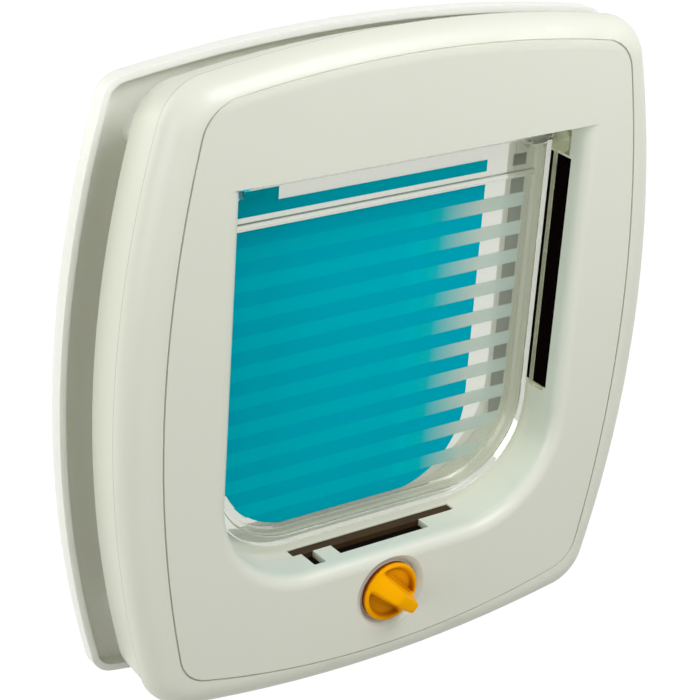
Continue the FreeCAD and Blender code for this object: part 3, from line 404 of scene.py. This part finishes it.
tree.links.new(fade.outputs["Color"], shader.inputs["Base Color"])
tree.links.new(cover.outputs["Result"], shader.inputs["Alpha"])
fine_grain(tree, shader, place, scale=400, depth=0.01 * MM, roughness=0.3)
dress("print_bands", light_ink)

grey_ink, tree, shader = new_finish("grey_ink")
shader.inputs["Specular IOR Level"].default_value = 0.0
place = varied_colour(tree, shader, (0.27, 0.29, 0.24), (0.24, 0.26, 0.21), scale=60)
fine_grain(tree, shader, place, scale=400, depth=0.01 * MM, roughness=0.35)
dress("print_squares", grey_ink)


# Draught strips
# Short dense black pile stands in a seat of each side wall, and a dark brown magnet bar is let
# into the sill. The pile is painted near black, partly as painted shade for its upright place in
# the shade of the side walls.
black_pile_and_shade, tree, shader = new_finish("black_pile_and_shade")
shader.inputs["Specular IOR Level"].default_value = 0.0
place = varied_colour(tree, shader, (0.006, 0.003, 0.003), (0.002, 0.001, 0.001), scale=800)
fine_grain(tree, shader, place, scale=2500, depth=0.3 * MM, roughness=0.9)
for name in ("side_strip_left", "side_strip_right"):
    dress(name, black_pile_and_shade)

brown_magnet, tree, shader = new_finish("brown_magnet")
shader.inputs["Specular IOR Level"].default_value = 0.15
place = varied_colour(tree, shader, (0.052, 0.028, 0.010), (0.040, 0.022, 0.008), scale=120)
fine_grain(tree, shader, place, scale=900, depth=0.05 * MM, roughness=0.6)
dress("sill_strip", brown_magnet)


# Lock knob
# An amber knob moulded in ABS: a scooped disc with a rounded lip, a pointer ridge across it and
# a neck into the cover. It sits on a square steel shaft and turns with it. Sizes in millimetres.
knob_centre = (0, -89.4)
knob_radius = 11.6
knob_back = -26.0
neck_radius = 7.0
neck_back = -20.0
scoop_floor = 0.9
scoop_edge_width = 2.2
lip_height = 2.5
lip_width = 1.0
pointer_angle = math.radians(-40)
pointer_height = 9.4
pointer_foot = -12.5
pointer_crest_start = 0.5
pointer_end = 9.6
pointer_end_drop = 1.6
pointer_half_width = 3.5
pointer_taper = 0.9
pointer_taper_reach = 9
pointer_flank = (1.7, -0.9)
pointer_nose = (-0.2, 0.5)
crest_rounding = 0.5
ring_count = 46
spoke_count = 180


def smooth_step(low, high, value):
    """Rises smoothly from 0 at low to 1 at high."""
    share = min(1, max(0, (value - low) / (high - low)))
    return share * share * (3 - 2 * share)


def knob_height(along, across):
    """Height of the knob's front above its foot."""
    reach = math.hypot(along, across)
    lip_start = knob_radius - lip_width
    floor = scoop_floor + (lip_height - scoop_floor) * smooth_step(
        lip_start - scoop_edge_width, lip_start, reach)
    if reach > lip_start:
        floor = lip_height - lip_width + math.sqrt(
            max(0, lip_width ** 2 - (reach - lip_start) ** 2))
    crest = lip_height + (pointer_height - lip_height) * smooth_step(
        pointer_foot, pointer_crest_start, along)
    crest -= pointer_end_drop * smooth_step(pointer_end - pointer_end_drop, pointer_end, along)
    half_width = pointer_half_width - pointer_taper * smooth_step(
        -pointer_taper_reach, pointer_taper_reach, along)
    flank = smooth_step(half_width + pointer_flank[0], half_width + pointer_flank[1],
                        abs(across))
    flank *= 1 - smooth_step(pointer_end + pointer_nose[0], pointer_end + pointer_nose[1], along)
    rounding = crest_rounding * min(1, abs(across) / half_width) ** 2
    return floor + max(0, crest - rounding - floor) * flank


def knob_point(radius, spoke, depth):
    """A point of the knob. Where no depth is given, it lies on the shaped front."""
    angle = 2 * math.pi * spoke / spoke_count
    along, across = radius * math.cos(angle), radius * math.sin(angle)
    if depth is None:
        depth = knob_back - knob_height(along, across)
    x = along * math.cos(pointer_angle) - across * math.sin(pointer_angle)
    z = along * math.sin(pointer_angle) + across * math.cos(pointer_angle)
    return Vector((knob_centre[0] + x, depth, knob_centre[1] + z)) * MM


rings = [(knob_radius * ring / ring_count, None) for ring in range(1, ring_count + 1)]
rings += [(knob_radius, knob_back), (neck_radius, knob_back), (neck_radius, neck_back)]
knob_mesh = bmesh.new()
middle = knob_mesh.verts.new(knob_point(0, 0, None))
rows = [[knob_mesh.verts.new(knob_point(radius, spoke, depth)) for spoke in range(spoke_count)]
        for radius, depth in rings]
for spoke in range(spoke_count):
    after = (spoke + 1) % spoke_count
    knob_mesh.faces.new((middle, rows[0][spoke], rows[0][after]))
    for inner, outer in zip(rows, rows[1:]):
        knob_mesh.faces.new((inner[spoke], outer[spoke], outer[after], inner[after]))
knob_mesh.faces.new(rows[-1])
bmesh.ops.recalc_face_normals(knob_mesh, faces=knob_mesh.faces)
for face in knob_mesh.faces:
    face.smooth = True
mesh = bpy.data.meshes.new("turning_knob")
knob_mesh.to_mesh(mesh)
turning_knob = bpy.data.objects.new("turning_knob", mesh)
bpy.context.scene.collection.objects.link(turning_knob)
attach(turning_knob, "lock")
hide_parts("lock_knob")

# The amber is painted darker in its hollows, by how enclosed each point is: painted shade.
painted_shade_amber = (0.26, 0.04, 0.0)
hollow_reach = 7 * MM
most_enclosed = 0.45
fully_open = 0.80
amber_abs, tree, shader = new_finish("amber_abs")
shader.inputs["Specular IOR Level"].default_value = 0.03
place = varied_colour(tree, shader, (1.0, 0.45, 0.0), (0.98, 0.42, 0.0), scale=60)
hollow = tree.nodes.new("ShaderNodeAmbientOcclusion")
hollow.samples = 12
hollow.inputs["Distance"].default_value = hollow_reach
openness = tree.nodes.new("ShaderNodeMapRange")
openness.inputs["From Min"].default_value = most_enclosed
openness.inputs["From Max"].default_value = fully_open
tree.links.new(hollow.outputs["AO"], openness.inputs["Value"])
amber = blend(tree, openness.outputs["Result"], painted_shade_amber, colour_before(shader))
tree.links.new(amber, shader.inputs["Base Color"])
fine_grain(tree, shader, place, scale=900, depth=0.02 * MM, roughness=0.35)
mesh.materials.append(amber_abs)


# Steel pieces
# The lock's square shaft, two sector cams and ring, the four frame screws and the two hinge pins
# are turned, cut or pressed steel with a dull zinc plating.
zinc_steel, tree, shader = new_finish("zinc_steel")
shader.inputs["Metallic"].default_value = 1.0
place = varied_colour(tree, shader, (0.60, 0.61, 0.62), (0.52, 0.53, 0.55), scale=90)
fine_grain(tree, shader, place, scale=1500, depth=0.02 * MM, roughness=0.34)
for name in ("lock_shaft", "front_cam", "rear_cam", "knob_ring", "frame_screws",
             "hinge_pin_left", "hinge_pin_right"):
    dress(name, zinc_steel)


# Lock bush and slot liner
# The bush, pressed into the back of the frame, carries the end of the shaft. The liner is the
# channel under the slots of the sill, where the cams turn. Both are black moulded plastic; on the
# liner the black is also painted shade, dark as the deep slot pockets.
black_plastic_and_shade, tree, shader = new_finish("black_plastic_and_shade")
shader.inputs["Specular IOR Level"].default_value = 0.05
place = varied_colour(tree, shader, (0.006, 0.004, 0.003), (0.004, 0.003, 0.002), scale=90)
fine_grain(tree, shader, place, scale=900, depth=0.03 * MM, roughness=0.5)
for name in ("lock_bush", "slot_liner"):
    dress(name, black_plastic_and_shade)
